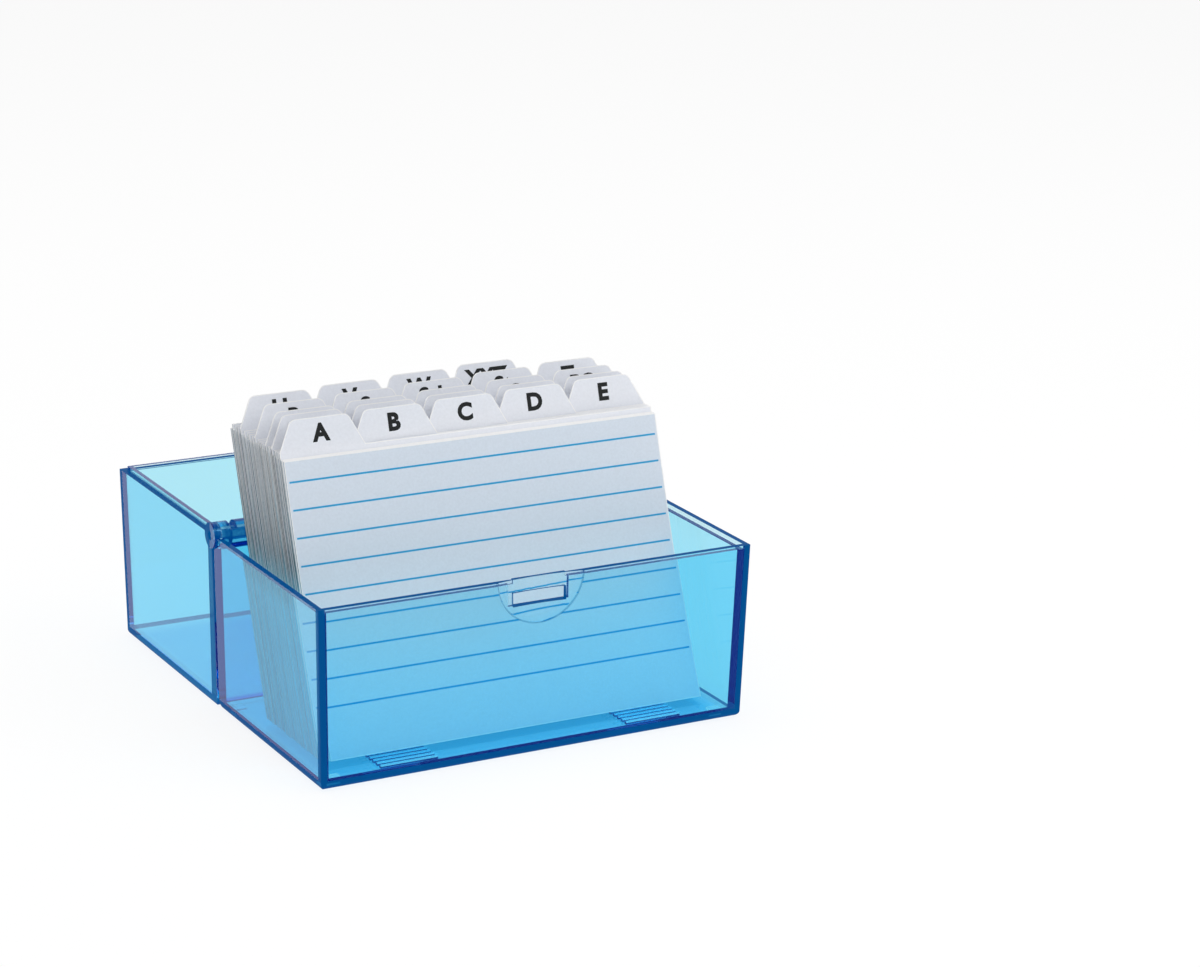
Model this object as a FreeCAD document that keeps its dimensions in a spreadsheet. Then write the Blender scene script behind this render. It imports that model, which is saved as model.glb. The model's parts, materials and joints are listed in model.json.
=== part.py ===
"""Hinged index card file for A7 cards, with its alphabetical dividers and cards.

Two clear moulded trays of the same plan, a base and a lid, are joined by a pin hinge along
their rear edges.  The part is modelled with the lid laid open by 180 degrees, so both trays
stand side by side on the table.

Frame: +X to the right, +Y to the rear, +Z up, in millimetres.  The origin is on the table,
straight under the middle of the hinge axis.  The base reaches from the hinge towards -Y and
the open lid from the hinge towards +Y.
"""
import FreeCAD, Part
import Sketcher
import math
import os

DRIVING_SIZES = [
    # Both trays
    ("tray_width", 120.0, "width of a tray over its side walls, at the rim"),
    ("tray_depth", 65.0, "hinge axis to the outside of a front wall, at the rim"),
    ("seam_height", 47.2, "table to the seam between the trays, where the hinge axis is"),
    ("wall_thick", 2.8, "thickness of the side, front and rear walls"),
    ("floor_thick", 2.4, "thickness of the base's floor and of the lid's top panel"),
    ("wall_draft", 1.0, "how far a wall leans in from its rim to its foot"),
    ("edge_round", 1.6, "outside radius along the front and side bottom edges"),
    ("rear_round", 3.0, "outside radius along the rear bottom edge"),
    ("hinge_gap", 0.5, "hinge axis to the outside of each rear wall"),
    ("rim_gap", 0.1, "half of the gap left in the closed seam"),
    # Rim
    ("lip_wall", 1.4, "thickness of the base's outer lip, left standing by the rebate"),
    ("rebate_depth", 1.2, "depth of the rebate inside the base's rim"),
    ("lip_clear", 0.25, "gap between the lid's inner lip and the base's outer lip"),
    ("lip_rise", 1.0, "how far the lid's inner lip stands out of its rim"),
    ("lip_start", 4.4, "hinge axis to the rear ends of the lid's lip"),
    # Feet and the ribs that keep the cards from sliding
    ("foot_rise", 0.4, "height of the four feet under the base"),
    ("foot_size", 3.6, "length and width of a foot"),
    ("foot_inset", 3.2, "outline of the base's underside to a foot"),
    ("rib_rise", 0.8, "height of a floor rib"),
    ("rib_foot", 1.2, "width of a rib where it meets the floor"),
    ("rib_crest", 0.5, "width of a rib along its crest"),
    ("rib_length", 15.6, "length of a rib along X"),
    ("rib_inner", 26.6, "middle of the tray to the inner end of a rib"),
    ("rib_pitch", 2.05, "rib to rib along Y"),
    ("rib_count", 27, "ribs in each of the two rows"),
    ("rib_first", 60.6, "hinge axis to the crest of the front rib"),
    # Hinge
    ("hinge_radius", 3.3, "outside radius of the ears, knuckles and barrel"),
    ("hinge_clear", 0.35, "gap round a hinge part in the other tray"),
    ("ear_outer", 60.8, "middle of the tray to the outer face of a lid ear"),
    ("ear_inner", 58.9, "middle of the tray to the inner face of a lid ear"),
    ("knuckle_outer", 58.7, "middle of the tray to the outer face of a base knuckle"),
    ("knuckle_inner", 56.2, "middle of the tray to the inner face of a base knuckle"),
    ("barrel_end", 55.9, "middle of the tray to the end of the lid's long barrel"),
    ("barrel_notch", 1.6, "length and depth of the notch at each end of the barrel"),
    ("pin_radius", 1.15, "radius of a hinge pin"),
    ("pin_clear", 0.05, "running clearance round a pin in its knuckle"),
    ("pin_outer", 60.5, "middle of the tray to the outer end of a pin"),
    ("pin_inner", 51.5, "middle of the tray to the inner end of a pin"),
    ("pin_end_gap", 0.5, "free length left behind a pin in the barrel's bore"),
    ("pin_chamfer", 0.3, "chamfer round each end of a pin"),
    # Thumb dish and latch
    ("dish_radius", 12.0, "radius of the round thumb dish's outline"),
    ("dish_depth", 1.3, "depth of the thumb dish at its middle"),
    ("dish_step", 0.3, "depth and width of the sloping step round the thumb dish"),
    ("channel_width", 17.0, "width of the channel inside the base's front wall"),
    ("channel_depth", 0.75, "depth of that channel into the wall"),
    ("window_width", 14.7, "width of the latch window"),
    ("window_top", 43.5, "table to the upper edge of the latch window"),
    ("window_bottom", 40.0, "table to the lower edge of the latch window and channel"),
    ("tongue_width", 14.8, "width of the latch tongue"),
    ("tongue_slot", 0.6, "width of the slot on each side of the tongue"),
    ("tongue_thick", 2.0, "thickness of the tongue"),
    ("tongue_inset", 0.3, "how far the tongue is set back from the lid's outside"),
    ("tongue_root_gap", 0.05, "gap under the root of the tongue, which bends there"),
    ("blade_clear", 0.25, "gap between the tongue's blade and the floor of the channel"),
    ("blade_proud", 0.5, "how far the blade stands inside the walls' inner faces"),
    ("blade_root", 0.9, "seam to where the blade's inner face begins on the tongue"),
    ("blade_slope", 1.2, "height of the slope under that inner face"),
    ("hook_width", 13.9, "width of the hook that enters the window"),
    ("hook_height", 1.2, "height of the hook"),
    ("hook_reach", 0.8, "how far the hook's edge stands out of the blade"),
    ("hook_crest", 0.3, "how far the hook's leading end stands out of the blade"),
    ("hook_gap", 0.2, "gap between the hook and the window's upper edge when shut"),
    # Cards and dividers
    ("card_width", 105.0, "width of a card and of a divider"),
    ("card_height", 74.0, "height of a card"),
    ("card_thick", 0.25, "thickness of a card"),
    ("divider_height", 75.5, "height of a divider up to the foot of its tab"),
    ("divider_thick", 0.35, "thickness of a divider"),
    ("tab_rise", 8.0, "height of a tab"),
    ("tab_foot", 23.3, "width of a tab at its foot"),
    ("tab_slope", 3.9, "how far a tab's side leans in from foot to top"),
    ("tab_round", 2.0, "radius of a tab's upper corners"),
    ("pack_lean", 20.4, "how far the standing cards lean back, in degrees"),
    ("pack_front", 53.9, "hinge axis to the lower edge of the frontmost card"),
    ("pack_foot_gap", 0.25, "gap between the ribs and the cards' lower front edges"),
    ("leaf_gap", 0.05, "gap between one divider's cards and the next divider"),
]
# Each row of tabs runs from left to right, and every divider of a row has the same number
# of cards behind it: (cards behind each divider, labels on the tabs).
TAB_ROWS = [
    (2, ["a", "b", "c", "d", "e"]),
    (1, ["f", "g", "h", "ij", "k"]),
    (4, ["l", "m", "n", "o", "pq"]),
    (5, ["r", "s", "sch", "st", "t"]),
    (5, ["u", "v", "w", "xyz"]),
]
TABS_PER_ROW = 5
CARDS_IN_FRONT = 6
SKETCH_MARGIN = 3.0
OVERLAP = 0.2

V = FreeCAD.Vector
doc = FreeCAD.newDocument("IndexCardFile")
sheet = doc.addObject("Spreadsheet::Sheet", "Sizes")


def fill_sheet():
    """Write every driving size with its alias and meaning into the sheet."""
    for row, (alias, value, meaning) in enumerate(DRIVING_SIZES, start=1):
        sheet.set("A%d" % row, alias)
        sheet.set("B%d" % row, str(value))
        sheet.set("C%d" % row, meaning)
        sheet.setAlias("B%d" % row, alias)
    doc.recompute()


def size(alias):
    """Return a driving size from the sheet as a plain number."""
    return float(getattr(sheet, alias))


def bind(thing, **expressions):
    """Bind properties of an object to expressions of the sheet."""
    for name, expression in expressions.items():
        thing.setExpression(name, expression)


def new_body(label):
    body = doc.addObject("PartDesign::Body", label)
    body.Label = label
    return body


def origin_feature(body, role):
    return [feature for feature in body.Origin.OriginFeatures if feature.Role == role][0]


def new_sketch(body, name, plane, offset="0"):
    """Add a sketch on one of the body's origin planes, raised by an expression."""
    sketch = body.newObject("Sketcher::SketchObject", name)
    sketch.AttachmentSupport = (origin_feature(body, plane), [""])
    sketch.MapMode = "FlatFace"
    sketch.setExpression("AttachmentOffset.Base.z", offset)
    return sketch


def place_vertex(sketch, geometry, point, coordinates):
    """Hold one vertex of a sketch at a pair of expressions."""
    for kind, expression in zip(("DistanceX", "DistanceY"), coordinates):
        value = float(sketch.evalExpression(expression))
        index = sketch.addConstraint(Sketcher.Constraint(kind, -1, 1, geometry, point, value))
        sketch.setExpression("Constraints[%d]" % index, expression)


def polygon_sketch(body, name, plane, corners, offset="0"):
    """Draw a closed polygon whose corners are pairs of expressions."""
    sketch = new_sketch(body, name, plane, offset)
    spots = [V(*[float(sketch.evalExpression(text)) for text in corner], 0) for corner in corners]
    count = len(corners)
    for index in range(count):
        sketch.addGeometry(Part.LineSegment(spots[index], spots[(index + 1) % count]), False)
    for index in range(count):
        sketch.addConstraint(Sketcher.Constraint("Coincident", index, 2, (index + 1) % count, 1))
    for index, corner in enumerate(corners):
        place_vertex(sketch, index, 1, corner)
    return sketch


def box_sketch(body, name, plane, low_x, high_x, low_y, high_y, offset="0"):
    """Draw a rectangle between two pairs of expressions."""
    corners = [(low_x, low_y), (high_x, low_y), (high_x, high_y), (low_x, high_y)]
    return polygon_sketch(body, name, plane, corners, offset)


def circle_sketch(body, name, plane, centre, radius, offset="0"):
    """Draw a circle from expressions for its centre and radius."""
    sketch = new_sketch(body, name, plane, offset)
    start = V(*[float(sketch.evalExpression(text)) for text in centre], 0)
    value = float(sketch.evalExpression(radius))
    sketch.addGeometry(Part.Circle(start, V(0, 0, 1), value), False)
    place_vertex(sketch, 0, 3, centre)
    index = sketch.addConstraint(Sketcher.Constraint("Radius", 0, value))
    sketch.setExpression("Constraints[%d]" % index, radius)
    return sketch


def pad(body, name, sketch, length, reverse=False):
    feature = body.newObject("PartDesign::Pad", name)
    feature.Profile = sketch
    feature.Reversed = reverse
    feature.setExpression("Length", length)
    doc.recompute()
    return feature


def pocket(body, name, sketch, length, reverse=False):
    """Cut a sketch out of the body, and make sure that it removes material."""
    before = body.Shape.Volume
    feature = body.newObject("PartDesign::Pocket", name)
    feature.Profile = sketch
    feature.Reversed = reverse
    feature.setExpression("Length", length)
    doc.recompute()
    if body.Shape.Volume > before - 0.001:
        raise RuntimeError("%s of %s cuts nothing" % (name, body.Label))
    return feature


def faces_where(shape, test):
    """Names of the faces whose normal and bounding box pass a test."""
    return ["Face%d" % number for number, face in enumerate(shape.Faces, start=1)
            if test(face.normalAt(0.5, 0.5), face.BoundBox)]


def edges_where(shape, test):
    """Names of the edges whose bounding box passes a test."""
    return ["Edge%d" % number for number, edge in enumerate(shape.Edges, start=1)
            if test(edge.BoundBox)]


def draft(body, name, base, faces, neutral, angle, reverse):
    feature = body.newObject("PartDesign::Draft", name)
    feature.Base = (base, faces)
    feature.NeutralPlane = (base, neutral)
    feature.Reversed = reverse
    feature.setExpression("Angle", angle)
    doc.recompute()
    return feature


def fillet(body, name, base, edges, radius):
    feature = body.newObject("PartDesign::Fillet", name)
    feature.Base = (base, edges)
    feature.setExpression("Radius", radius)
    doc.recompute()
    return feature


# ---------------------------------------------------------------------------------------
# Trays.  "side" is "-" for the base, which reaches towards -Y, and "" for the open lid.
# ---------------------------------------------------------------------------------------

RIM = "Sizes.seam_height - Sizes.rim_gap"
DRAFT_ANGLE = "atan(Sizes.wall_draft / Sizes.seam_height)"


def towards(side, distance):
    """A distance from the hinge axis towards a tray's front, as an expression along Y."""
    return "%s(%s)" % (side, distance)


def tray_shell(body, side, foot):
    """An open box with leaning walls and rounded bottom edges, its floor at height foot."""
    outward = 1 if side == "" else -1
    outline = box_sketch(
        body, "Outline", "XY_Plane",
        "-Sizes.tray_width / 2", "Sizes.tray_width / 2",
        towards(side, "-%g" % SKETCH_MARGIN), towards(side, "Sizes.tray_depth"), foot)
    block = pad(body, "Block", outline, "%s - (%s)" % (RIM, foot))
    sides = faces_where(block.Shape, lambda n, box: abs(n.x) > 0.9 or n.y * outward > 0.9)
    rim = faces_where(block.Shape, lambda n, box: n.z > 0.9)
    leaning = draft(body, "WallDraft", block, sides, rim, DRAFT_ANGLE, True)
    foot_height = float(sheet.evalExpression(foot))
    bottom = edges_where(
        leaning.Shape,
        lambda box: abs(box.ZMax - foot_height) < 0.001
        and not (box.YLength < 0.01 and outward * box.YMax < 0))
    fillet(body, "BottomRound", leaning, bottom, "Sizes.edge_round")
    trim_rear(body, side, foot)
    hollow(body, side, foot, outward)


def trim_rear(body, side, foot):
    """Cut the rear wall's outer face upright beside the hinge axis, with a rounded foot."""
    outward = 1 if side == "" else -1
    sketch = new_sketch(body, "RearOutline", "YZ_Plane", "-Sizes.tray_width")
    face_y = towards(side, "Sizes.hinge_gap")
    tangent_y = towards(side, "Sizes.hinge_gap + Sizes.rear_round")
    beyond_y = towards(side, "-%g" % (2 * SKETCH_MARGIN))
    low_z = "%s - %g" % (foot, SKETCH_MARGIN)
    high_z = "%s + %g" % (RIM, SKETCH_MARGIN)
    arc_z = "%s + Sizes.rear_round" % foot
    corners = [(face_y, arc_z), (face_y, high_z), (beyond_y, high_z), (beyond_y, low_z),
               (tangent_y, low_z), (tangent_y, foot)]
    spots = [V(*[float(sketch.evalExpression(text)) for text in corner], 0)
             for corner in corners]
    for start, end in zip(spots[:-1], spots[1:]):
        sketch.addGeometry(Part.LineSegment(start, end), False)
    radius = size("rear_round")
    centre = V(spots[5].x, spots[0].y, 0)
    circle = Part.Circle(centre, V(0, 0, 1), radius)
    if outward > 0:
        arc = Part.ArcOfCircle(circle, math.pi, 1.5 * math.pi)
        ends = (1, 2)
    else:
        arc = Part.ArcOfCircle(circle, 1.5 * math.pi, 2 * math.pi)
        ends = (2, 1)
    sketch.addGeometry(arc, False)
    for index in range(4):
        sketch.addConstraint(Sketcher.Constraint("Coincident", index, 2, index + 1, 1))
    sketch.addConstraint(Sketcher.Constraint("Coincident", 5, ends[0], 0, 1))
    sketch.addConstraint(Sketcher.Constraint("Coincident", 5, ends[1], 4, 2))
    for index, corner in enumerate(corners[:-1]):
        place_vertex(sketch, index, 1, corner)
    place_vertex(sketch, 4, 2, corners[-1])
    round_index = sketch.addConstraint(Sketcher.Constraint("Radius", 5, radius))
    sketch.setExpression("Constraints[%d]" % round_index, "Sizes.rear_round")
    pocket(body, "RearTrim", sketch, "2 * Sizes.tray_width", reverse=True)


def hollow(body, side, foot, outward):
    """Cut the tray's cavity with the same draft as its outside."""
    opening = box_sketch(
        body, "CavityOutline", "XY_Plane",
        "-Sizes.tray_width / 2 + Sizes.wall_thick", "Sizes.tray_width / 2 - Sizes.wall_thick",
        towards(side, "Sizes.hinge_gap + Sizes.wall_thick"),
        towards(side, "Sizes.tray_depth - Sizes.wall_thick"), RIM)
    cavity = pocket(body, "Cavity", opening, "%s - (%s) - Sizes.floor_thick" % (RIM, foot))
    floor = float(sheet.evalExpression("%s + Sizes.floor_thick" % foot))
    inner = faces_where(
        cavity.Shape,
        lambda n, box: abs(box.ZMin - floor) < 0.001 and box.ZLength > 10
        and (abs(n.x) > 0.9 or n.y * outward < -0.9))
    rim = faces_where(cavity.Shape, lambda n, box: n.z > 0.9 and box.ZMin > floor + 1)
    draft(body, "CavityDraft", cavity, inner, rim, DRAFT_ANGLE, False)


def hinge_bar(body, name, low_x, high_x, radius, cut=False):
    """Add or cut a cylinder on the hinge axis between two distances along X."""
    sketch = circle_sketch(body, name + "Circle", "YZ_Plane", ("0", "Sizes.seam_height"),
                           radius, low_x)
    length = "(%s) - (%s)" % (high_x, low_x)
    if cut:
        return pocket(body, name, sketch, length, reverse=True)
    return pad(body, name, sketch, length)


def mirrored_pair(low, high):
    """The same stretch of the hinge axis at the right end and at the left end."""
    return [("Right", low, high), ("Left", "-(%s)" % high, "-(%s)" % low)]


def front_cutter(body, kind, name, side, distance):
    """Add a cutter on the line that stands square on a front wall at the seam.

    The distance counts outwards from the wall's outer face, and the cutter's own Z axis
    points outwards too.
    """
    cutter = body.newObject(kind, name)
    cutter.AttachmentSupport = (origin_feature(body, "XY_Plane"), [""])
    cutter.MapMode = "FlatFace"
    turn = 90 + math.degrees(math.atan(size("wall_draft") / size("seam_height")))
    if side == "":
        turn = -turn
    cutter.AttachmentOffset.Rotation = FreeCAD.Rotation(V(1, 0, 0), turn)
    cutter.setExpression(
        "AttachmentOffset.Base.y",
        towards(side, "Sizes.tray_depth + (%s) * cos(%s)" % (distance, DRAFT_ANGLE)))
    cutter.setExpression("AttachmentOffset.Base.z",
                         "Sizes.seam_height - (%s) * sin(%s)" % (distance, DRAFT_ANGLE))
    return cutter


def dish_cut(body, side):
    """Cut the round thumb dish, centred on the seam, and its sloping step into a wall."""
    before = body.Shape.Volume
    bowl_depth = "(Sizes.dish_depth - Sizes.dish_step)"
    bowl_outline = "(Sizes.dish_radius - Sizes.dish_step)"
    radius = "((%s ^ 2 + %s ^ 2) / (2 * %s))" % (bowl_outline, bowl_depth, bowl_depth)
    bowl = front_cutter(body, "PartDesign::SubtractiveSphere", "ThumbDish", side,
                        radius + " - Sizes.dish_depth")
    bind(bowl, Radius=radius, Angle2="-acos(%s / %s)" % (bowl_outline, radius))
    step = front_cutter(body, "PartDesign::SubtractiveCone", "ThumbDishStep", side,
                        "-Sizes.dish_step")
    bind(step, Radius1=bowl_outline, Radius2="Sizes.dish_radius + Sizes.wall_thick",
         Height="Sizes.dish_step + Sizes.wall_thick")
    doc.recompute()
    if body.Shape.Volume > before - 0.001:
        raise RuntimeError("the thumb dish of %s cuts nothing" % body.Label)


# ---------------------------------------------------------------------------------------
# Base tray
# ---------------------------------------------------------------------------------------

def base_rim(body):
    """Cut the rebate inside the rim, which stops on both sides of the latch window."""
    for name, low, high in mirrored_pair("Sizes.window_width / 2",
                                         "Sizes.tray_width / 2 - Sizes.lip_wall"):
        rebate = box_sketch(
            body, name + "RebateOutline", "XY_Plane", low, high,
            "-Sizes.tray_depth + Sizes.lip_wall", "-Sizes.hinge_gap - Sizes.wall_thick", RIM)
        pocket(body, name + "Rebate", rebate, "Sizes.rebate_depth")


def base_latch(body):
    """Cut the tongue's channel into the front wall's inside, and the latch window."""
    channel = box_sketch(
        body, "ChannelOutline", "XY_Plane",
        "-Sizes.channel_width / 2", "Sizes.channel_width / 2",
        "-Sizes.tray_depth + Sizes.wall_thick - Sizes.channel_depth",
        "-Sizes.tray_depth + 2 * Sizes.wall_thick", RIM)
    pocket(body, "Channel", channel, "%s - Sizes.window_bottom" % RIM)
    window = box_sketch(
        body, "WindowOutline", "XZ_Plane", "-Sizes.window_width / 2", "Sizes.window_width / 2",
        "Sizes.window_bottom", "Sizes.window_top", "Sizes.tray_depth + Sizes.wall_thick")
    pocket(body, "Window", window, "3 * Sizes.wall_thick")


def base_ribs(body):
    """Raise two rows of low ribs across the floor, for the cards' lower edges to stand on."""
    floor = "Sizes.foot_rise + Sizes.floor_thick"
    crest = floor + " + Sizes.rib_rise"
    sunk = "%s - %g" % (floor, OVERLAP)
    middle = "-Sizes.rib_first"
    corners = [(middle + " - Sizes.rib_foot / 2", sunk), (middle + " + Sizes.rib_foot / 2", sunk),
               (middle + " + Sizes.rib_foot / 2", floor), (middle + " + Sizes.rib_crest / 2", crest),
               (middle + " - Sizes.rib_crest / 2", crest), (middle + " - Sizes.rib_foot / 2", floor)]
    ribs = []
    for name, low, high in mirrored_pair("Sizes.rib_inner", "Sizes.rib_inner + Sizes.rib_length"):
        profile = polygon_sketch(body, name + "RibProfile", "YZ_Plane", corners, low)
        ribs.append(pad(body, name + "Rib", profile, "Sizes.rib_length"))
    rows = body.newObject("PartDesign::LinearPattern", "RibRows")
    rows.Originals = ribs
    rows.Direction = (origin_feature(body, "Y_Axis"), [""])
    rows.setExpression("Length", "Sizes.rib_pitch * (Sizes.rib_count - 1)")
    rows.setExpression("Occurrences", "Sizes.rib_count")
    body.Tip = rows
    doc.recompute()


def base_feet(body):
    """Add the four low feet under the corners."""
    far_x = "(Sizes.tray_width / 2 - Sizes.wall_draft - Sizes.foot_inset)"
    near_x = "(%s - Sizes.foot_size)" % far_x
    front_y = "-(Sizes.tray_depth - Sizes.wall_draft - Sizes.foot_inset)"
    rear_y = "-(Sizes.hinge_gap + Sizes.foot_inset + Sizes.foot_size)"
    for name, low_x, high_x in mirrored_pair(near_x, far_x):
        for row, low_y in (("Front", front_y), ("Rear", rear_y)):
            outline = box_sketch(body, row + name + "FootOutline", "XY_Plane", low_x, high_x,
                                 low_y, "(%s) + Sizes.foot_size" % low_y)
            pad(body, row + name + "Foot", outline, "Sizes.foot_rise + %g" % OVERLAP)


def make_base_tray():
    body = new_body("base_tray")
    tray_shell(body, "-", "Sizes.foot_rise")
    base_rim(body)
    base_latch(body)
    dish_cut(body, "-")
    clear_radius = "Sizes.hinge_radius + Sizes.hinge_clear"
    hinge_bar(body, "BarrelRoom", "-Sizes.knuckle_inner", "Sizes.knuckle_inner", clear_radius,
              cut=True)
    for name, low, high in mirrored_pair("Sizes.knuckle_outer", "Sizes.ear_outer + 1"):
        hinge_bar(body, name + "EarRoom", low, high, clear_radius, cut=True)
    for name, low, high in mirrored_pair("Sizes.knuckle_inner", "Sizes.knuckle_outer"):
        hinge_bar(body, name + "Knuckle", low, high, "Sizes.hinge_radius")
        hinge_bar(body, name + "PinBore", low, high, "Sizes.pin_radius + Sizes.pin_clear",
                  cut=True)
    base_feet(body)
    base_ribs(body)
    return body


# ---------------------------------------------------------------------------------------
# Lid tray, modelled lying open behind the hinge
# ---------------------------------------------------------------------------------------

def lid_lip(body):
    """Raise the inner lip along the rim's front and sides, open where the tongue passes."""
    outer_x = "(Sizes.tray_width / 2 - Sizes.lip_wall - Sizes.lip_clear)"
    inner_x = "(Sizes.tray_width / 2 - Sizes.wall_thick)"
    outer_y = "Sizes.tray_depth - Sizes.lip_wall - Sizes.lip_clear"
    inner_y = "Sizes.tray_depth - Sizes.wall_thick"
    gap_x = "(Sizes.channel_width / 2)"
    for name, mirror in (("Right", ""), ("Left", "-")):
        corners = [(mirror + outer_x, "Sizes.lip_start"), (mirror + outer_x, outer_y),
                   (mirror + gap_x, outer_y), (mirror + gap_x, inner_y),
                   (mirror + inner_x, inner_y), (mirror + inner_x, "Sizes.lip_start")]
        outline = polygon_sketch(body, name + "LipOutline", "XY_Plane", corners,
                                 "%s - %g" % (RIM, OVERLAP))
        pad(body, name + "Lip", outline, "Sizes.lip_rise + %g" % OVERLAP)


def lid_tongue_slot(body):
    """Open the front wall where the latch tongue stands, and set its foot back."""
    half = "(Sizes.tongue_width / 2 + Sizes.tongue_slot)"
    slot = box_sketch(
        body, "TongueSlotOutline", "XY_Plane", "-" + half, half,
        "Sizes.tray_depth - 2 * Sizes.wall_thick", "Sizes.tray_depth + Sizes.wall_thick",
        RIM + " + 2 * Sizes.lip_rise")
    pocket(body, "TongueSlot", slot, RIM + " + 2 * Sizes.lip_rise - Sizes.floor_thick")
    step = box_sketch(
        body, "TongueStepOutline", "XY_Plane", "-" + half, half,
        "Sizes.tray_depth - Sizes.wall_draft - Sizes.tongue_inset",
        "Sizes.tray_depth + Sizes.wall_thick", "Sizes.floor_thick")
    pocket(body, "TongueStep", step, "Sizes.floor_thick")


def make_lid_tray():
    body = new_body("lid_tray")
    tray_shell(body, "", "0")
    lid_lip(body)
    dish_cut(body, "")
    lid_tongue_slot(body)
    for name, low, high in mirrored_pair("Sizes.barrel_end", "Sizes.ear_inner"):
        hinge_bar(body, name + "KnuckleRoom", low, high,
                  "Sizes.hinge_radius + Sizes.hinge_clear", cut=True)
    hinge_bar(body, "Barrel", "-Sizes.barrel_end", "Sizes.barrel_end", "Sizes.hinge_radius")
    for name, low, high in mirrored_pair("Sizes.ear_inner", "Sizes.ear_outer"):
        hinge_bar(body, name + "Ear", low, high, "Sizes.hinge_radius")
        hinge_bar(body, name + "EarBore", low, high, "Sizes.pin_radius", cut=True)
    for name, low, high in mirrored_pair("Sizes.pin_inner - Sizes.pin_end_gap",
                                         "Sizes.barrel_end"):
        hinge_bar(body, name + "BarrelBore", low, high, "Sizes.pin_radius + Sizes.pin_clear",
                  cut=True)
    crown = "Sizes.seam_height + Sizes.hinge_radius"
    for name, low, high in mirrored_pair("Sizes.barrel_end - Sizes.barrel_notch",
                                         "Sizes.barrel_end"):
        notch = box_sketch(body, name + "BarrelNotchOutline", "XY_Plane", low, high,
                           "-Sizes.hinge_radius", "Sizes.hinge_radius", crown + " + 1")
        pocket(body, name + "BarrelNotch", notch, "Sizes.barrel_notch + 1")
    return body


def make_latch_tongue():
    """The springy tongue in the lid's front wall, with the hook that enters the window."""
    body = new_body("latch_tongue")
    lean = "Sizes.wall_draft / Sizes.seam_height"
    front = "Sizes.tray_depth - Sizes.tongue_inset"
    root = "(Sizes.floor_thick + Sizes.tongue_root_gap)"
    inner_face = "Sizes.tray_depth - Sizes.wall_thick"
    blade_in = inner_face + " - Sizes.blade_proud"
    blade_out = inner_face + " + Sizes.channel_depth - Sizes.blade_clear"
    hook_low = "2 * Sizes.seam_height - Sizes.window_top + Sizes.hook_gap"
    hook_high = hook_low + " + Sizes.hook_height"
    slope_foot = "(Sizes.blade_root + Sizes.blade_slope)"
    root_front = "%s - Sizes.wall_draft * (1 - %s / Sizes.seam_height)" % (front, root)
    corners = [
        (root_front + " - Sizes.tongue_thick", root),
        (root_front, root),
        (front, RIM),
        (blade_out, RIM),
        (blade_out, hook_high),
        (blade_in, hook_high),
        (blade_in, "Sizes.seam_height - Sizes.blade_root"),
        ("%s - Sizes.tongue_thick - %s * %s" % (front, lean, slope_foot),
         "Sizes.seam_height - %s" % slope_foot),
    ]
    profile = polygon_sketch(body, "Profile", "YZ_Plane", corners, "-Sizes.tongue_width / 2")
    pad(body, "Blade", profile, "Sizes.tongue_width")
    sunk = "%s - %g" % (blade_out, OVERLAP)
    hook_corners = [
        (sunk, hook_low),
        (blade_out + " + Sizes.hook_reach", hook_low),
        (blade_out + " + Sizes.hook_crest", hook_high),
        (sunk, hook_high),
    ]
    hook = polygon_sketch(body, "HookProfile", "YZ_Plane", hook_corners,
                          "-Sizes.hook_width / 2")
    pad(body, "Hook", hook, "Sizes.hook_width")
    dish_cut(body, "")
    return body


def make_hinge_pin(label, low, high):
    """A plain pin on the hinge axis with a chamfer at each end."""
    pin = doc.addObject("Part::Cylinder", label + "_blank")
    bind(pin, Radius="Sizes.pin_radius", Height="(%s) - (%s)" % (high, low))
    pin.Placement.Rotation = FreeCAD.Rotation(V(0, 1, 0), 90)
    pin.setExpression("Placement.Base.x", low)
    pin.setExpression("Placement.Base.z", "Sizes.seam_height")
    doc.recompute()
    chamfer = doc.addObject("Part::Chamfer", label)
    chamfer.Base = pin
    rims = [number for number, edge in enumerate(pin.Shape.Edges, start=1)
            if edge.BoundBox.XLength < 0.01]
    width = size("pin_chamfer")
    chamfer.Edges = [(number, width, width) for number in rims]
    chamfer.Label = label
    return chamfer


# ---------------------------------------------------------------------------------------
# Cards and dividers.  Every sheet leans back and stands on its own lower edge, so a sheet
# that lies behind another by its thickness t also starts t * tan(lean) higher along itself.
# ---------------------------------------------------------------------------------------

def stand_in_pack(thing, distance):
    """Lean an object back and stand it in the pack, at a distance through the pack."""
    thing.Placement.Rotation = FreeCAD.Rotation(V(-1, 0, 0), size("pack_lean"))
    thing.setExpression("Placement.Rotation.Angle", "Sizes.pack_lean")
    thing.setExpression("Placement.Base.y",
                        "-Sizes.pack_front + (%s) / cos(Sizes.pack_lean)" % distance)
    thing.setExpression("Placement.Base.z", "Sizes.foot_rise + Sizes.floor_thick"
                                            " + Sizes.rib_rise + Sizes.pack_foot_gap")


def make_cards(label, count, distance, behind="0"):
    """A run of separate cards, the first one lying behind the run's own front face."""
    cards = []
    for number in range(count):
        card = doc.addObject("Part::Box", "%s_%d" % (label, number + 1))
        inside = "(%s + %d * Sizes.card_thick)" % (behind, number)
        bind(card, Length="Sizes.card_width", Width="Sizes.card_thick",
             Height="Sizes.card_height")
        card.setExpression("Placement.Base.x", "-Sizes.card_width / 2")
        card.setExpression("Placement.Base.y", inside)
        card.setExpression("Placement.Base.z", "%s * tan(Sizes.pack_lean)" % inside)
        cards.append(card)
    run = doc.addObject("Part::Compound", label)
    run.Links = cards
    run.Label = label
    stand_in_pack(run, distance)
    return run


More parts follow.
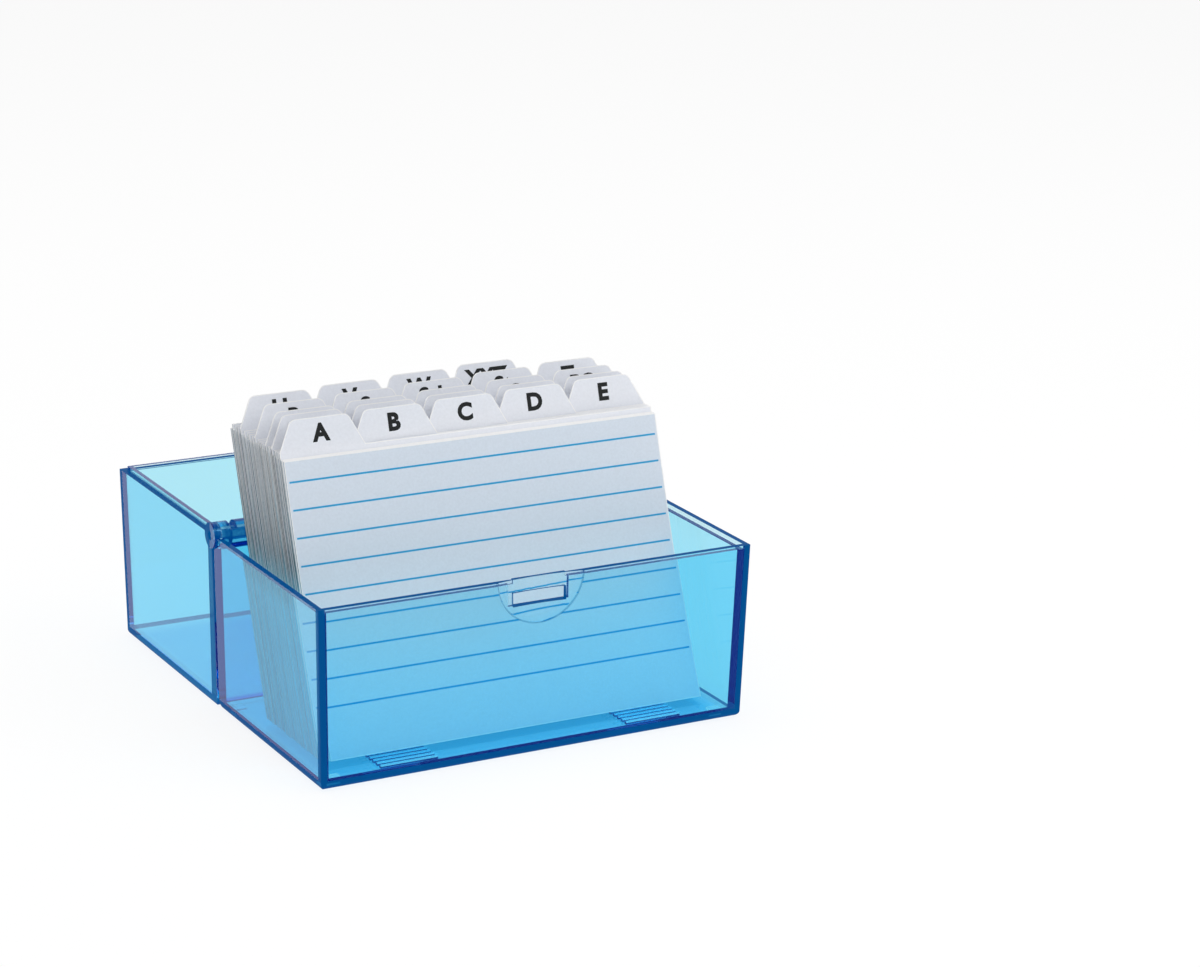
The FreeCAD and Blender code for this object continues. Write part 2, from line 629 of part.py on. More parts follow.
def make_divider(label, column, distance):
    """A stiff sheet with one tab, whose column counts from the left."""
    body = new_body(label)
    step = "(Sizes.card_width - Sizes.tab_foot) / %d" % (TABS_PER_ROW - 1)
    left = "-Sizes.card_width / 2 + %d * %s" % (column, step)
    right = left + " + Sizes.tab_foot"
    shoulder = "Sizes.divider_height"
    crown = "Sizes.divider_height + Sizes.tab_rise"
    corners = [("-Sizes.card_width / 2", "0"), ("Sizes.card_width / 2", "0")]
    if column < TABS_PER_ROW - 1:
        corners.append(("Sizes.card_width / 2", shoulder))
    corners += [(right, shoulder), (right + " - Sizes.tab_slope", crown),
                (left + " + Sizes.tab_slope", crown), (left, shoulder)]
    if column > 0:
        corners.append(("-Sizes.card_width / 2", shoulder))
    outline = polygon_sketch(body, "Outline", "XZ_Plane", corners)
    plate = pad(body, "Plate", outline, "Sizes.divider_thick", reverse=True)
    top = size("divider_height") + size("tab_rise")
    upper = edges_where(plate.Shape, lambda box: box.ZMin > top - 0.001 and box.XLength < 0.001)
    fillet(body, "TabRound", plate, upper, "Sizes.tab_round")
    stand_in_pack(body, distance)
    return body


def make_pack():
    """The cards in front, and each divider with the cards behind it."""
    pieces = [make_cards("cards_in_front", CARDS_IN_FRONT, "0")]
    cards_before = CARDS_IN_FRONT
    dividers_before = 0
    for cards_behind, names in TAB_ROWS:
        for column, name in enumerate(names):
            distance = (
                "%d * Sizes.card_thick + %d * Sizes.divider_thick + %d * Sizes.leaf_gap"
                % (cards_before, dividers_before, dividers_before + 1))
            pieces.append(make_divider("divider_" + name, column, distance))
            pieces.append(make_cards("cards_behind_" + name, cards_behind, distance,
                                     "Sizes.divider_thick"))
            cards_before += cards_behind
            dividers_before += 1
    return pieces


def make_all():
    fill_sheet()
    pieces = [make_base_tray(), make_lid_tray(), make_latch_tongue()]
    pieces.append(make_hinge_pin("hinge_pin_left", "-Sizes.pin_outer", "-Sizes.pin_inner"))
    pieces.append(make_hinge_pin("hinge_pin_right", "Sizes.pin_inner", "Sizes.pin_outer"))
    pieces += make_pack()
    doc.recompute()
    return pieces


def check_document(pieces):
    """Stop if any object failed or any piece is empty or invalid."""
    for thing in doc.Objects:
        if any(state in ("Invalid", "Error") for state in thing.State):
            raise RuntimeError("%s failed: %s" % (thing.Label, thing.State))
    for piece in pieces:
        if piece.Shape.isNull() or not piece.Shape.isValid() or not piece.Shape.Solids:
            raise RuntimeError("%s has no valid solid" % piece.Label)


def write_parts(pieces):
    os.makedirs("parts", exist_ok=True)
    for piece in pieces:
        piece.Shape.exportStep("parts/%s.step" % piece.Label)


all_pieces = make_all()
check_document(all_pieces)
write_parts(all_pieces)
print("%d nodes, %d solids" % (len(all_pieces), sum(len(p.Shape.Solids) for p in all_pieces)))
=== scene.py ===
"""Looks of a hinged, tinted clear box for index cards, with its cards and lettered dividers.

The file is laid out as an add-on and is run as a script.  Every length is in metres and every
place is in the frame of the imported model: +X to the right, +Y to the rear, +Z up.
"""

import json
import math
import random

import bpy
from bpy.props import FloatProperty, FloatVectorProperty, IntProperty, PointerProperty
from mathutils import Matrix, Vector


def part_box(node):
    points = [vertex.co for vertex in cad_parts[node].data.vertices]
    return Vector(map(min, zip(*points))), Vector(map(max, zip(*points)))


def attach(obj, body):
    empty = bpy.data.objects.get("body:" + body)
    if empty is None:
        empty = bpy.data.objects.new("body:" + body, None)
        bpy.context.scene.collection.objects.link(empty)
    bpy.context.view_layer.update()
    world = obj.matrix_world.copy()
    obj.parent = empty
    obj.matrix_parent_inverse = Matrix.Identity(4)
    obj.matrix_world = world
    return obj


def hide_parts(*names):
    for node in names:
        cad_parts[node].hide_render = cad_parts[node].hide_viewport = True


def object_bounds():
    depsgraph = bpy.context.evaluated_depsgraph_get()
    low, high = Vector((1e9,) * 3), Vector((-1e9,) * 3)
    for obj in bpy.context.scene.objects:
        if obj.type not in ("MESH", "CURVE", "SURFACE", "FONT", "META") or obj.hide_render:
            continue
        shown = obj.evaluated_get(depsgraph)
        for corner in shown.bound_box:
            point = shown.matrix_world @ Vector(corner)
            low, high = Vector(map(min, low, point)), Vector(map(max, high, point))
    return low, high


bl_info = {
    "name": "Index Card Box",
    "version": (1, 0, 0),
    "blender": (4, 5, 0),
    "location": "View3D > Sidebar > Card Box",
    "description": "Tinted clear card box with ruled cards and lettered dividers",
    "category": "Add Mesh",
}

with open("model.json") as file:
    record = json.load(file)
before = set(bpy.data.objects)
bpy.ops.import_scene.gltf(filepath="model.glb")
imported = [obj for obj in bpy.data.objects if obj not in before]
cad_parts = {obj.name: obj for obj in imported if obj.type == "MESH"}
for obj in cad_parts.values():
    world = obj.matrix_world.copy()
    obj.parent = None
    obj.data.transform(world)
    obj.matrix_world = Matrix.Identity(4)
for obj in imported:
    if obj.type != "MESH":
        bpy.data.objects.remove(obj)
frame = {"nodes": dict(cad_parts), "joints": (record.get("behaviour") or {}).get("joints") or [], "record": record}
cad_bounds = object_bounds()

MM = 0.001
LABELS = {"ij": "IJ", "sch": "Sch", "st": "St", "pq": "PQ", "xyz": "XYZ"}
TABS_PER_ROW = 5
SHADE = "edge_shade"          # attribute that says how light a sheet's cut edges are
NEAR = 0.01 * MM              # places closer than this count as the same

# Where the painted navy glow along the trays' edges shows: bands as shares of a wall's thickness, and reaches.
CORNER_BAND = 0.6             # in from the outside, at an upright corner
FOOT_BAND = 0.5               # in from the outside, at a wall's foot
HINGE_ZONE = 1.5              # to each side of the hinge, where the rims stay clear
RIM_REACH = 0.1 * MM          # above and below the rim
REVEAL_REACH = 0.05 * MM      # past the faces of the latch window
STEP_INSET = 0.1 * MM         # from the thumb dish's radius in to the middle of its step
STEP_REACH = 0.2 * MM         # to each side of that
EAR_WIDTH = 2 * MM            # at each end of the barrel

# Patterns of the sheets.  Fibres and ink specks are coarser than real ones, so that they show.
FIBRE_LENGTH = 0.7 * MM
FIBRE_RANGE = 0.3, 0.7        # part of the noise over which the shade changes
FIBRE_SHADE = 0.94            # share of the card's colour that is left between its fibres
FIBRE_RELIEF = 0.03 * MM
SPECK_LENGTH = 0.5 * MM
SPECK_LIGHT = 1.8             # how much lighter than the ink its specks are
PATCH_LENGTH = 9 * MM         # lighter and darker patches across a run of cut edges
PATCH_STRENGTH = 0.6
DARK_SHADE = 0.45             # lightness up to which a cut edge is at its darkest
# Heights of the painted light in the box, the painted shade above its rim and the painted light at the top
CAST_HEIGHTS = 0.5, 0.65, 0.97  # in the box, just above its rim and at the top, in cards
TOP_EVENED = 1 / 8            # evening out at the top, as a share of that in the box

# Small irregularities of the pack.
CARD_SEED = 7
DIVIDER_SEED = 11
RUN_SHARE = 0.6               # share of an edge's lightness that its whole run has
CARD_SLIP = 0.35 * MM         # to either side
CARD_RISE = 0.3 * MM
DIVIDER_SLIP = 0.25 * MM      # to either side
BEND_ROWS = 12                # rows of faces in which a sheet bends
INK_FILM = 0.02 * MM

# Hinge pins.
PIN_CLEARANCE = 0.03 * MM
PIN_CHAMFER = 0.3 * MM
CAP_REACH = 0.1 * MM          # from a pin's axis, to find the faces of its ends

# Soft lights, and the point that they face.
KEY_PLACE = (0.75, -0.75, 0.85)
KEY_SIZE = 0.9
TOP_PLACE = (-0.1, 0.1, 1.2)
TOP_SIZE = 1.0
AIM = (0, 0, 0.04)


def linear(hex_code):
    """Turn an sRGB hex colour into linear red, green and blue."""
    shares = [int(hex_code[start:start + 2], 16) / 255 for start in (1, 3, 5)]
    return tuple(s / 12.92 if s <= 0.04045 else ((s + 0.055) / 1.055) ** 2.4 for s in shares)


def colour_property(name, description, hex_code):
    """A colour setting whose default is an sRGB hex colour."""
    return FloatVectorProperty(name=name, description=description, subtype="COLOR", size=3,
                               min=0, max=1, default=linear(hex_code))


def length_property(name, description, millimetres):
    """A length setting, given here in millimetres."""
    return FloatProperty(name=name, description=description, subtype="DISTANCE",
                         unit="LENGTH", default=millimetres * MM)


def angle_property(name, description, degrees):
    """An angle setting, given here in degrees."""
    return FloatProperty(name=name, description=description, subtype="ANGLE",
                         unit="ROTATION", default=math.radians(degrees))


def share_property(name, description, share):
    """A setting between 0 and 1."""
    return FloatProperty(name=name, description=description, default=share, min=0, max=1)


# --------------------------------------------------------------------------------------
# Settings
# --------------------------------------------------------------------------------------

class CardBoxPlastic(bpy.types.PropertyGroup):
    """Tinted polystyrene of the trays, the latch tongue and the hinge pins."""
    depth_colour: colour_property(
        "Depth colour", "Tint that the dye gives light as it goes deeper", "#25E5FB")
    depth_density: FloatProperty(
        name="Depth density", description="How fast the tint deepens, per metre",
        default=285.0, min=0)
    # Painted glow: colour of an emission that stands in for light caught between a wall's faces
    painted_glow_colour: colour_property(
        "Caught light", "Light that has gone to and fro between the faces", "#00528F")
    gloss_tint: colour_property("Gloss", "Tint of the reflections", "#7CC8FF")
    caught_after: IntProperty(
        name="Caught after", description="Reflections after which light counts as caught",
        default=2, min=1)
    refraction: FloatProperty(
        name="IOR", description="A little under polystyrene's, to mirror less of the white",
        default=1.47, min=1)
    gloss_roughness: share_property("Roughness", "Polished mould surface", 0.02)
    # Painted light and shade: share of the navy glow that is painted along the trays' edges
    painted_edge_glow: share_property(
        "Edge share", "Share of caught light that shows along the edges", 0.85)
    wall: length_property("Wall", "Thickness of the trays' walls", 2.8)
    wall_lean: length_property("Lean", "How far a wall leans in at its foot", 1.0)
    rim_height: length_property("Rim height", "Height of the trays' rims", 47.1)
    dish_radius: length_property("Dish radius", "Radius of the thumb dish", 12.0)
    # Painted: share of the navy glow that is painted on the ring of the thumb dish's step
    painted_dish_glow: share_property(
        "Dish share", "How much of that light the dish's sloping step shows", 0.4)
    barrel_radius: length_property(
        "Barrel radius", "Radius that takes in the barrel and its knuckles", 3.45)
    # Painted: share of the navy glow that is painted on the hinge barrel and its knuckles
    painted_barrel_glow: share_property(
        "Barrel share", "How much of that light the hinge barrel shows", 0.35)
    window_width: length_property("Window width", "Width of the latch window", 14.7)
    window_rise: length_property("Window rise", "Rise of the latch window", 3.5)
    window_height: length_property(
        "Window height", "Table to the middle of the latch window", 41.75)
    ripple_length: length_property(
        "Ripple length", "Length of the faint ripples in a moulded wall", 16)
    ripple_height: length_property("Ripple height", "Height of those ripples", 0.01)


class CardBoxSheets(bpy.types.PropertyGroup):
    """Cards and dividers."""
    card_thickness: length_property(
        "Card thickness", "Thickness that shows, a little under the pitch", 0.21)
    card_pitch: length_property("Card pitch", "Card to card through the pack", 0.25)
    divider_thickness: length_property("Divider thickness", "Thickness of a divider", 0.32)
    divider_height: length_property("Divider height", "Height up to the foot of the tab", 75.5)
    tab_height: length_property("Tab height", "Height of a tab", 8.0)
    tab_foot: length_property("Tab foot", "Width of a tab at its foot", 23.3)
    tab_slope: length_property(
        "Tab slope", "How far a tab's side leans in over its height", 3.9)
    tab_round: length_property("Tab rounding", "Radius of a tab's corners", 2.0)
    card_height: length_property("Card height", "Height of a card", 74)
    card_width: length_property("Card width", "Width of a card", 105)
    lean: angle_property("Lean", "How far the sheets lean back", 20.4)
    bow_front: length_property("Bow in front", "How far the front sheets bow to the rear", 1.4)
    bow_back: length_property(
        "Bow at the back", "How far the rear sheets bow to the rear", 0.4)
    line_pitch: length_property("Line pitch", "Ruled line to ruled line", 6.95)
    line_low: length_property("Lowest line", "Lower edge of a card to its lowest line", 13.1)
    line_count: IntProperty(name="Lines", description="Ruled lines on a card", default=9)
    line_width: length_property("Line width", "Width of a ruled line", 0.48)
    line_margin: length_property("Line margin", "Side of a card to the end of its lines", 0.8)
    letter_height: length_property("Letter height", "Height of a capital", 4.4)
    letter_rise: length_property(
        "Letter rise", "Foot of a tab to the foot of its letters", 2.1)
    letter_weight: FloatProperty(
        name="Letter weight", description="How much the strokes are thickened",
        default=0.045, min=0)
    card_colour: colour_property("Card", "Colour of the card stock", "#E3ECF7")
    divider_colour: colour_property("Divider", "Colour of the dividers", "#F0F3FA")
    # Painted highlight: pure white for the sheets' borders and upper edges, lighter than the card
    painted_highlight_colour: colour_property("Upper edges", "Fresh cut upper edges of the sheets", "#FFFFFF")
    # Painted shade: the cut edges' grey runs from this dark, for edges in shadow, to the light below
    edge_dark: colour_property("Dark edge", "Cut edges that lie in shadow", "#4A575E")
    edge_light: colour_property("Light edge", "Cut edges that stand out", "#BFC8CE")
    # Painted light: whiter streaks at the top of the pack's sides
    painted_top_light: colour_property("Cast at the top", "Cast over the pack's sides at their top",
                               "#EDF2F5")
    # Painted shade: a dark teal band on the pack's sides just above the box's rim
    painted_rim_shade: colour_property("Cast at the rim", "Cast over the pack's sides at the box's rim",
                              "#5A9EAF")
    # Painted light: the plastic's tint, as light on the pack's sides inside the box
    painted_box_light: colour_property("Cast in the box", "Cast over the pack's sides in the box",
                              "#9DEEFF")
    evened_out: share_property(
        "Evened out", "How far the light in the box evens out the streaks", 0.75)
    # Painted highlight: width of the pure white border left round each sheet
    highlight_border: length_property(
        "Cut line", "Border of a sheet that the cutter leaves bright", 0.22)
    show_through: share_property(
        "Show through", "Share of light that passes into a sheet", 0.1)
    line_colour: colour_property("Line", "Colour of the ruled lines", "#00A2DA")
    ink_colour: colour_property("Ink", "Colour of the printed letters", "#06090A")


class CardBoxStage(bpy.types.PropertyGroup):
    """Floor, light and camera."""
    floor_colour: colour_property("Floor", "Colour of the floor", "#FAFAFA")
    floor_glow: share_property("Floor glow", "Share of its own light", 0.85)
    # Painted light: the floor seen through the plastic, under the box, glows in this tint
    painted_under_light: colour_property(
        "Under the box", "Light that falls on the floor through the plastic", "#62C6EE")
    glow_fade: length_property("Glow fade", "Width over which that light turns white", 8)
    floor_size: length_property("Floor size", "Length of the floor's side", 6000)
    ambient: FloatProperty(name="Ambient", description="Strength of the light all round",
                           default=0.5, min=0)
    key_power: FloatProperty(name="Key light", description="Soft light in front, on the right",
                             subtype="POWER", unit="POWER", default=5.5, min=0)
    top_power: FloatProperty(name="Top light", description="Soft light overhead",
                             subtype="POWER", unit="POWER", default=7.5, min=0)
    camera_place: FloatVectorProperty(
        name="Camera", description="Where the camera stands", subtype="TRANSLATION",
        unit="LENGTH", size=3, default=(-0.3738, -0.7646, 0.3123))
    camera_turn: angle_property("Turn", "Camera's turn about the vertical", 29.12)
    camera_pitch: angle_property("Pitch", "How far the camera looks down", 16.90)
    camera_roll: angle_property("Roll", "Camera's roll about its own axis", 1.17)
    camera_lens: FloatProperty(name="Lens", description="Focal length in millimetres",
                               default=102.0, min=1)


# --------------------------------------------------------------------------------------
# Small helpers
# --------------------------------------------------------------------------------------

def deselect_all():
    """Deselect everything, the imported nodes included."""
    for piece in bpy.context.selected_objects:
        piece.select_set(False)


def make_active(piece):
    """Select one object alone and make it the active one."""
    deselect_all()
    piece.select_set(True)
    bpy.context.view_layer.objects.active = piece


def copy_of(piece, name):
    """Copy an object with a mesh of its own, and select the copy."""
    copy = piece.copy()
    copy.data = piece.data.copy()
    copy.name = name
    copy.data.name = name
    bpy.context.scene.collection.objects.link(copy)
    make_active(copy)
    return copy


def remove(piece):
    """Delete an object and its mesh."""
    mesh = piece.data
    bpy.data.objects.remove(piece)
    bpy.data.meshes.remove(mesh)


def apply_place(piece):
    """Move an object's place, turn and scale into its mesh."""
    make_active(piece)
    bpy.ops.object.transform_apply(location=True, rotation=True, scale=True)


def apply_modifier(piece, kind, **settings):
    """Add a modifier with its settings and apply it at once."""
    make_active(piece)
    modifier = piece.modifiers.new(kind.title(), kind)
    for name, value in settings.items():
        setattr(modifier, name, value)
    bpy.ops.object.modifier_apply(modifier=modifier.name)


def join(pieces, name):
    """Join objects into the first one."""
    deselect_all()
    for piece in pieces:
        piece.select_set(True)
    bpy.context.view_layer.objects.active = pieces[0]
    if len(pieces) > 1:
        bpy.ops.object.join()
    pieces[0].name = name
    pieces[0].data.name = name
    return pieces[0]


def select_where(piece, kind, test):
    """In edit mode, select the vertices, edges or faces whose middle passes a test."""
    bpy.ops.object.mode_set(mode="EDIT")
    bpy.ops.mesh.select_mode(type=kind)
    bpy.ops.mesh.select_all(action="DESELECT")
    bpy.ops.object.mode_set(mode="OBJECT")
    mesh = piece.data
    parts = {"VERT": mesh.vertices, "EDGE": mesh.edges, "FACE": mesh.polygons}[kind]
    for part in parts:
        if kind == "VERT":
            middle = part.co
        else:
            corners = [mesh.vertices[index].co for index in part.vertices]
            middle = sum(corners, Vector()) / len(corners)
        part.select = test(middle)
    bpy.ops.object.mode_set(mode="EDIT")


def give_material(piece, *materials):
    """Fill an object's material slots, in this order."""
    piece.data.materials.clear()
    for material in materials:
        piece.data.materials.append(material)


def add_node(tree, kind, sockets=None, **settings):
    """Add a shader node, with its settings and the values or links of its sockets."""
    node = tree.nodes.new(kind)
    for name, value in settings.items():
        setattr(node, name, value)
    for name, value in (sockets or {}).items():
        if isinstance(value, bpy.types.NodeSocket):
            tree.links.new(value, node.inputs[name])
        else:
            node.inputs[name].default_value = value
    return node


def set_stops(ramp, *stops):
    """Give a colour ramp its stops in rising order, each a place and a colour with alpha."""
    while len(ramp.elements) < len(stops):
        ramp.elements.new(1.0)
    for stop, (place, colour) in zip(ramp.elements, stops):
        stop.position = place
        stop.color = colour


def new_material(name):
    """Make a material with an empty node tree."""
    material = bpy.data.materials.new(name)
    material.use_nodes = True
    material.node_tree.nodes.clear()
    return material, material.node_tree


# --------------------------------------------------------------------------------------
# Materials
# --------------------------------------------------------------------------------------

def tinted_polystyrene(settings):
    """Injection-moulded transparent polystyrene, dyed blue.

    The dye colours light by the depth of plastic that it crosses, so a wall looks pale blue
    straight through and navy along its edge.  A ray that has been mirrored often ends in a painted
    navy glow, an emission that stands in for light caught between the two faces of a wall, and the
    trays' edges show a share of that painted glow.  The polished mould leaves a hard gloss with faint ripples.
    """
    name = "tinted_polystyrene"
    if name in bpy.data.materials:
        return bpy.data.materials[name]
    material, tree = new_material(name)
    place = add_node(tree, "ShaderNodeTexCoord")
    ripple = add_node(tree, "ShaderNodeTexNoise", {
        "Vector": place.outputs["Object"], "Scale": 1 / settings.ripple_length,
        "Detail": 1.0, "Roughness": 0.4})
    relief = add_node(tree, "ShaderNodeBump", {
        "Height": ripple.outputs["Fac"], "Strength": 1.0,
        "Distance": settings.ripple_height})
    clear = add_node(tree, "ShaderNodeBsdfPrincipled", {
        "Base Color": (1, 1, 1, 1), "Roughness": settings.gloss_roughness,
        "IOR": settings.refraction, "Transmission Weight": 1.0,
        "Specular Tint": (*settings.gloss_tint, 1), "Normal": relief.outputs["Normal"]})
    see_through = add_node(tree, "ShaderNodeBsdfTransparent", {"Color": (1, 1, 1, 1)})
    path = add_node(tree, "ShaderNodeLightPath")
    often_mirrored = add_node(tree, "ShaderNodeMath", {
        0: path.outputs["Glossy Depth"], 1: settings.caught_after},
        operation="GREATER_THAN")
    # Painted glow: an emission, not a lamp, in place of caught light; it turns the plastic navy where it shows
    caught = add_node(tree, "ShaderNodeEmission", {
        "Color": (*settings.painted_glow_colour, 1), "Strength": 1.0})
    # The painted glow shows on rays that were mirrored often, and where the painted edge mask says
    shown = add_node(tree, "ShaderNodeMath", {
        0: often_mirrored.outputs[0], 1: painted_glow_share(tree, place, settings)},
        operation="MAXIMUM")
    body = add_node(tree, "ShaderNodeMixShader", {
        0: shown.outputs[0], 1: clear.outputs["BSDF"], 2: caught.outputs["Emission"]})
    surface = add_node(tree, "ShaderNodeMixShader", {
        0: path.outputs["Is Shadow Ray"], 1: body.outputs["Shader"],
        2: see_through.outputs["BSDF"]})
    dye = add_node(tree, "ShaderNodeVolumeAbsorption", {
        "Color": (*settings.depth_colour, 1), "Density": settings.depth_density})
    add_node(tree, "ShaderNodeOutputMaterial", {
        "Surface": surface.outputs["Shader"], "Volume": dye.outputs["Volume"]})
    return material


def painted_glow_share(tree, place, settings):
    """Share of painted navy glow, in place of caught light, on the trays' corners, rims and feet, the latch
    window, the dish's step and the hinge barrel.
    """
    spot = add_node(tree, "ShaderNodeSeparateXYZ", {"Vector": place.outputs["Object"]})
    found = {"x": spot.outputs["X"], "y": spot.outputs["Y"], "height": spot.outputs["Z"]}
    steps = (wall_steps(settings) + corner_steps(settings) + foot_and_rim_steps(settings)
             + window_steps(settings) + dish_steps(settings) + barrel_steps(settings))
    for name, operation, *inputs in steps:
        values = [found[value] if isinstance(value, str) else value for value in inputs]
        found[name] = add_node(tree, "ShaderNodeMath", dict(enumerate(values)),
                               operation=operation).outputs[0]
    shown = found["in_corner"]
    for name in ("by_hinge", "at_foot", "at_rim", "round_window", "on_dish", "on_barrel"):
        shown = add_node(tree, "ShaderNodeMath", {0: shown, 1: found[name]},
                         operation="MAXIMUM").outputs[0]
    return add_node(tree, "ShaderNodeMath", {0: shown, 1: settings.painted_edge_glow},
                    operation="MULTIPLY").outputs[0]


def tray_half_sizes():
    """Half of a tray's width and the distance from the hinge to its front, at the rim."""
    low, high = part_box("base_tray")
    return high.x, -low.y


# A step is its name, a Math operation, and inputs that are numbers or names of earlier steps.

def wall_steps(settings):
    """Depth of a spot in from the outside of the side walls and of the front wall."""
    half_width, half_depth = tray_half_sizes()
    lean = settings.wall_lean / settings.rim_height
    return [
        ("across", "ABSOLUTE", "x"),
        ("along", "ABSOLUTE", "y"),
        ("side", "MULTIPLY_ADD", "height", lean, half_width - settings.wall_lean),
        ("front", "MULTIPLY_ADD", "height", lean, half_depth - settings.wall_lean),
        ("from_side", "SUBTRACT", "side", "across"),
        ("from_front", "SUBTRACT", "front", "along"),
        ("deeper", "MAXIMUM", "from_side", "from_front"),
        ("shallower", "MINIMUM", "from_side", "from_front"),
    ]


def corner_steps(settings):
    """Upright corners at the front, and those of the lid beside the hinge."""
    band = CORNER_BAND * settings.wall
    lean = settings.wall_lean / settings.rim_height
    return [
        ("in_corner", "LESS_THAN", "deeper", band),
        ("back", "MULTIPLY_ADD", "height", -lean, settings.wall_lean + band),
        ("in_lid_back", "COMPARE", "y", "back", band),
        ("in_side", "LESS_THAN", "from_side", band),
        ("by_hinge", "MULTIPLY", "in_lid_back", "in_side"),
    ]


def foot_and_rim_steps(settings):
    """Outside of the walls' feet, and the flat of the rims away from the hinge."""
    return [
        ("on_outside", "LESS_THAN", "shallower", FOOT_BAND * settings.wall),
        ("is_low", "LESS_THAN", "height", settings.wall),
        ("at_foot", "MULTIPLY", "on_outside", "is_low"),
        ("on_rim", "COMPARE", "height", settings.rim_height, RIM_REACH),
        ("off_hinge", "GREATER_THAN", "along", HINGE_ZONE * settings.wall),
        ("at_rim", "MULTIPLY", "on_rim", "off_hinge"),
    ]


def window_steps(settings):
    """Faces of the latch window in the base's front wall."""
    half_rise = settings.window_rise / 2 + REVEAL_REACH
    half_width = settings.window_width / 2 + REVEAL_REACH
    return [
        ("at_window", "COMPARE", "height", settings.window_height, half_rise),
        ("in_width", "LESS_THAN", "across", half_width),
        ("in_window", "MULTIPLY", "at_window", "in_width"),
        ("in_front", "LESS_THAN", "y", settings.wall - tray_half_sizes()[1]),
        ("round_window", "MULTIPLY", "in_window", "in_front"),
    ]


def dish_steps(settings):
    """Sloping step round the thumb dish, whose middle is on the rim."""
    return [
        ("below_rim", "SUBTRACT", settings.rim_height, "height"),
        ("below_squared", "MULTIPLY", "below_rim", "below_rim"),
        ("across_squared", "MULTIPLY", "across", "across"),
        ("dish_squared", "ADD", "across_squared", "below_squared"),
        ("from_middle", "POWER", "dish_squared", 0.5),
        ("on_step", "COMPARE", "from_middle", settings.dish_radius - STEP_INSET, STEP_REACH),
        ("step_in_front", "MULTIPLY", "on_step", "in_front"),
        ("on_dish", "MULTIPLY", "step_in_front", settings.painted_dish_glow),
    ]


def barrel_steps(settings):
    """Hinge barrel with its knuckles, between the ears at its ends."""
    inner_width = tray_half_sizes()[0] - EAR_WIDTH
    return [
        ("along_squared", "MULTIPLY", "along", "along"),
        ("axis_squared", "ADD", "along_squared", "below_squared"),
        ("near_axis", "LESS_THAN", "axis_squared", settings.barrel_radius ** 2),
        ("between_ears", "LESS_THAN", "across", inner_width),
        ("is_barrel", "MULTIPLY", "near_axis", "between_ears"),
        ("on_barrel", "MULTIPLY", "is_barrel", settings.painted_barrel_glow),
    ]


def card_stock(name, colour, settings, ruled=False):
    """Wood-free card stock, calendered: matt white with a fine fibre grain.

    It lets some light through to the sheet behind.  Ruled stock has blue offset-printed lines
    across its front.
    """
    if name in bpy.data.materials:
        return bpy.data.materials[name]
    material, tree = new_material(name)
    place = add_node(tree, "ShaderNodeTexCoord")
    fibre = add_node(tree, "ShaderNodeTexNoise", {
        "Vector": place.outputs["Object"], "Scale": 1 / FIBRE_LENGTH, "Detail": 3.0,
        "Roughness": 0.6})
    shade = [share * FIBRE_SHADE for share in colour]
    tint = add_node(tree, "ShaderNodeValToRGB", {"Fac": fibre.outputs["Fac"]})
    dark, light = FIBRE_RANGE
    set_stops(tint.color_ramp, (dark, (*shade, 1)), (light, (*colour, 1)))
    paper = tint.outputs["Color"]
    if ruled:
        paper = ruled_lines(tree, place, paper, settings)
    relief = add_node(tree, "ShaderNodeBump", {
        "Height": fibre.outputs["Fac"], "Strength": 0.25, "Distance": FIBRE_RELIEF})
    matt = add_node(tree, "ShaderNodeBsdfPrincipled", {
        "Base Color": paper, "Roughness": 0.72, "IOR": 1.45,
        "Normal": relief.outputs["Normal"]})
    through = add_node(tree, "ShaderNodeBsdfTranslucent", {"Color": (*colour, 1)})
    surface = add_node(tree, "ShaderNodeMixShader", {
        0: settings.show_through, 1: matt.outputs["BSDF"], 2: through.outputs["BSDF"]})
    add_node(tree, "ShaderNodeOutputMaterial", {"Surface": surface.outputs["Shader"]})
    return material


